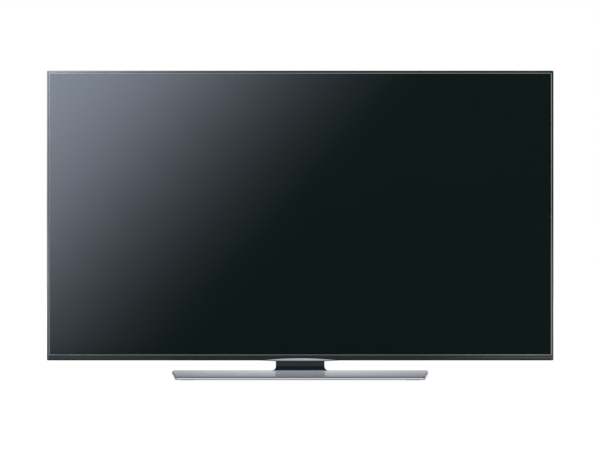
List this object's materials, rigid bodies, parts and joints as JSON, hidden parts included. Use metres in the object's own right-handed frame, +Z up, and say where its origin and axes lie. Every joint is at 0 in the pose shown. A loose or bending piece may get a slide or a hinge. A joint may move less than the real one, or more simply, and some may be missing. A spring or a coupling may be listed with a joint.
{
  "type": "flat screen display",
  "caption": "Wide flat screen display in a thin dark metal frame with a tapered rear cover, on a short neck and a low brushed metal table base.",
  "frame": {"origin": "on the table surface, in the middle of the display's footprint, which the base and its heel set", "axes": "+X to the viewer's right along the screen, +Y away from the viewer, +Z up; the screen faces -Y"},
  "size_m": [1.2276, 0.3, 0.7359],
  "materials": {
    "bezel_metal": "dark metallic satin with a bright-cut inner edge",
    "screen_glass": "dark semi-gloss, low reflection",
    "inner_plastic": "plain moulded black",
    "white_film": "satin white film",
    "clear_acrylic": "clear polished sheet",
    "plain_steel": "zinc-plated sheet",
    "plain_aluminium": "mill finish",
    "white_board": "white solder mask",
    "cover_plastic": "fine moulded texture",
    "grille_plastic": "fine moulded texture",
    "black_screw": "black oxide",
    "black_steel": "black powder coat",
    "polished_aluminium": "polished",
    "brushed_aluminium": "hairline brushed along its length",
    "foot_rubber": "plain",
    "gloss_black": "high gloss",
    "lens_acrylic": "clear, cool tint",
    "circuit_board": "green solder mask",
    "socket_metal": "nickel-plated",
    "socket_plastic": "plain",
    "cone_paper": "coated paper",
    "knob_plastic": "soft-touch"
  },
  "bodies": {
    "display": {"bezel_bottom": "bezel_metal", "bezel_right": "bezel_metal", "bezel_top": "bezel_metal", "bezel_left": "bezel_metal", "bezel_corner_keys": "plain_steel", "lcd_glass": "screen_glass", "mid_frame": "inner_plastic", "optical_sheets": "white_film", "light_guide": "clear_acrylic", "reflector_sheet": "white_film", "rear_chassis": "plain_steel", "led_heat_bar": "plain_aluminium", "led_strips": "white_board", "rear_cover": "cover_plastic", "rear_cover_screws": "black_screw", "top_vent_grille": "grille_plastic", "woofer_grilles": "grille_plastic", "wall_mount_rails": "plain_steel", "base_rim": "polished_aluminium", "base_core_plate": "black_steel", "base_carrier": "inner_plastic", "base_top_skin": "brushed_aluminium", "rubber_feet": "foot_rubber", "stand_screws": "black_screw", "neck_front_cover": "gloss_black", "neck_rear_cover": "cover_plastic", "neck_bracket": "black_steel", "stand_seat": "plain_steel", "heel_cover": "cover_plastic", "sensor_lens": "lens_acrylic", "sensor_pod": "inner_plastic", "receiver_board": "circuit_board", "main_board": "circuit_board", "power_board": "circuit_board", "timing_board": "circuit_board", "stick_board": "circuit_board", "board_standoffs": "plain_steel", "board_screws": "plain_steel", "board_parts": "inner_plastic", "timing_board_shield": "plain_aluminium", "source_boards": "circuit_board", "ribbon_cables": "white_board", "hdmi_sockets": "socket_metal", "usb_sockets": "socket_metal", "socket_panels": "inner_plastic", "network_socket": "socket_plastic", "optical_socket": "socket_plastic", "audio_jack": "socket_plastic", "antenna_socket": "socket_metal", "power_inlet": "socket_plastic", "speaker_boxes": "inner_plastic", "speaker_magnets": "black_steel", "stick_housing": "inner_plastic"},
    "stick_gimbal": {"stick_gimbal": "inner_plastic"},
    "stick_sleeve": {"stick_sleeve": "inner_plastic"},
    "stick_knob": {"control_knob": "knob_plastic"},
    "left_speaker_cone": {"speaker_cone_left": "cone_paper"},
    "right_speaker_cone": {"speaker_cone_right": "cone_paper"},
    "left_woofer_cone": {"woofer_cone_left": "cone_paper"},
    "right_woofer_cone": {"woofer_cone_right": "cone_paper"}
  },
  "joints": [
    {"name": "stick_tilt_up_down", "type": "hinge", "parent": "display", "child": "stick_gimbal", "pos_m": [0.5148, 0.0611, 0.0815], "axis": [1, 0, 0], "range_deg": [-6, 6], "stiffness_Nm_per_rad": 0.05},
    {"name": "stick_tilt_left_right", "type": "hinge", "parent": "stick_gimbal", "child": "stick_sleeve", "pos_m": [0.5148, 0.0611, 0.0815], "axis": [0, 0, 1], "range_deg": [-6, 6], "stiffness_Nm_per_rad": 0.05},
    {"name": "stick_press", "type": "slide", "parent": "stick_sleeve", "child": "stick_knob", "axis": [0, -1, 0], "range_m": [0, 0.0008], "stiffness_N_per_m": 2500},
    {"name": "left_speaker_stroke", "type": "slide", "parent": "display", "child": "left_speaker_cone", "axis": [0, 0, 1], "range_m": [-0.0008, 0.0008], "stiffness_N_per_m": 400},
    {"name": "left_woofer_stroke", "type": "slide", "parent": "display", "child": "left_woofer_cone", "axis": [0, 1, 0], "range_m": [-0.002, 0.002], "stiffness_N_per_m": 600},
    {"name": "right_speaker_stroke", "type": "slide", "parent": "display", "child": "right_speaker_cone", "axis": [0, 0, 1], "range_m": [-0.0008, 0.0008], "stiffness_N_per_m": 400},
    {"name": "right_woofer_stroke", "type": "slide", "parent": "display", "child": "right_woofer_cone", "axis": [0, 1, 0], "range_m": [-0.002, 0.002], "stiffness_N_per_m": 600}
  ]
}
